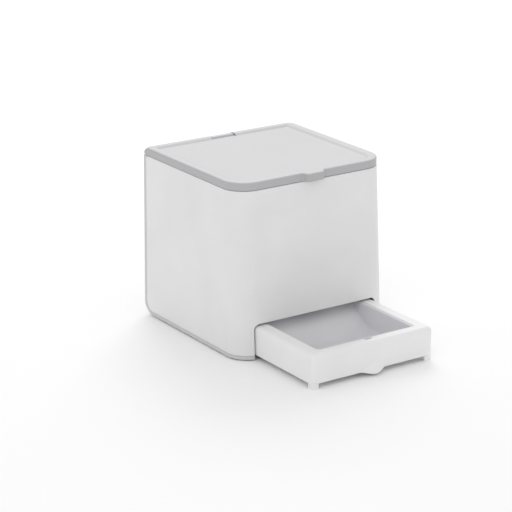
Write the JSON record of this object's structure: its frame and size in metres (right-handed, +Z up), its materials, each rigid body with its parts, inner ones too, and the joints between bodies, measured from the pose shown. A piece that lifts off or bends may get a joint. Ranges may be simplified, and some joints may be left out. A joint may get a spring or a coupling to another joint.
{
  "type": "automatic pet feeder",
  "caption": "Cube-shaped automatic pet feeder with a hinged lid over a food hopper, a motor-driven portion disc, a chute, and a drawer bowl that slides out of the front.",
  "frame": {"origin": "on the surface the feeder stands on, under the middle of the box that holds it with its drawer out", "axes": "+Z up, +Y from the drawer's front to the feeder's back, +X to the right as seen from the front"},
  "size_m": [0.204, 0.312, 0.2],
  "materials": {
    "white_plastic": "fine satin moulding",
    "grey_plastic": "fine satin moulding",
    "bowl_plastic": "smooth satin",
    "inner_plastic": "plain moulding",
    "disc_plastic": "smooth, food safe",
    "gear_plastic": "acetal",
    "black_plastic": "fine texture",
    "button_plastic": "satin",
    "lens_plastic": "clear, polished",
    "foot_rubber": "matt",
    "seal_rubber": "matt silicone",
    "steel": "bright zinc",
    "motor_steel": "drawn steel can",
    "pinion_brass": "cut brass",
    "board_green": "solder mask",
    "module_shield": "stamped",
    "battery_jacket": "printed film, no text",
    "lead_red": "insulation",
    "lead_black": "insulation"
  },
  "bodies": {
    "housing": {"rear_base_shell": "grey_plastic", "front_shell": "white_plastic", "hopper": "inner_plastic", "disc_housing": "inner_plastic", "mechanism_deck": "inner_plastic", "chute": "inner_plastic", "rail_left": "inner_plastic", "rail_right": "inner_plastic", "battery_case": "black_plastic", "power_switch": "black_plastic", "dc_jack": "black_plastic", "sensor_emitter": "black_plastic", "sensor_receiver": "black_plastic", "status_lens": "lens_plastic", "foot_1": "foot_rubber", "foot_2": "foot_rubber", "foot_3": "foot_rubber", "foot_4": "foot_rubber", "hinge_pin": "steel", "contact_bridge": "steel", "contact_minus": "steel", "contact_plus": "steel", "shell_screw_1": "steel", "shell_screw_2": "steel", "shell_screw_3": "steel", "shell_screw_4": "steel", "deck_screw_1": "steel", "deck_screw_2": "steel", "deck_screw_3": "steel", "deck_screw_4": "steel", "disc_housing_screw_1": "steel", "disc_housing_screw_2": "steel", "disc_housing_screw_3": "steel", "disc_housing_screw_4": "steel", "motor_screw_1": "steel", "motor_screw_2": "steel", "board_screw_1": "steel", "board_screw_2": "steel", "gear_motor": "motor_steel", "speaker": "motor_steel", "circuit_board": "board_green", "wireless_module": "module_shield", "battery_1": "battery_jacket", "battery_2": "battery_jacket", "battery_3": "battery_jacket", "battery_4": "battery_jacket", "motor_lead": "lead_red", "speaker_lead": "lead_black"},
    "lid": {"lid": "grey_plastic", "lid_seal": "seal_rubber"},
    "drawer": {"tray_frame": "white_plastic", "bowl_liner": "bowl_plastic"},
    "portion_disc": {"portion_disc": "disc_plastic", "disc_gear": "gear_plastic", "drive_shaft": "steel", "agitator": "disc_plastic"},
    "motor_pinion": {"motor_pinion": "pinion_brass"},
    "battery_door": {"battery_door": "grey_plastic"},
    "power_rocker": {"power_rocker": "black_plastic"},
    "feed_button": {"feed_button": "button_plastic"}
  },
  "joints": [
    {"name": "lid_hinge", "type": "hinge", "parent": "housing", "child": "lid", "pos_m": [0, 0.15125, 0.19525], "axis": [-1, 0, 0], "range_deg": [0, 105]},
    {"name": "drawer_slide", "type": "slide", "parent": "housing", "child": "drawer", "axis": [0, -1, 0], "range_m": [-0.104, 0.008]},
    {"name": "disc_spin", "type": "hinge", "parent": "housing", "child": "portion_disc", "pos_m": [0, 0.042, 0.0945], "axis": [0, 0, 1], "continuous": true},
    {"name": "pinion_spin", "type": "hinge", "parent": "housing", "child": "motor_pinion", "pos_m": [0.0275, 0.042, 0.0775], "axis": [0, 0, 1], "continuous": true},
    {"name": "battery_door_hinge", "type": "hinge", "parent": "housing", "child": "battery_door", "pos_m": [0, 0.1558, 0.0255], "axis": [-1, 0, 0], "range_deg": [0, 80]},
    {"name": "power_rocker_tilt", "type": "hinge", "parent": "housing", "child": "power_rocker", "pos_m": [-0.036, 0.1524, 0.093], "axis": [1, 0, 0], "range_deg": [0, 12]},
    {"name": "feed_button_press", "type": "slide", "parent": "housing", "child": "feed_button", "axis": [0, -1, 0], "range_m": [0, 0.0012], "stiffness_N_per_m": 300}
  ],
  "couplings": [
    {"joint": "pinion_spin", "follows": "disc_spin", "ratio": -2.6667}
  ]
}
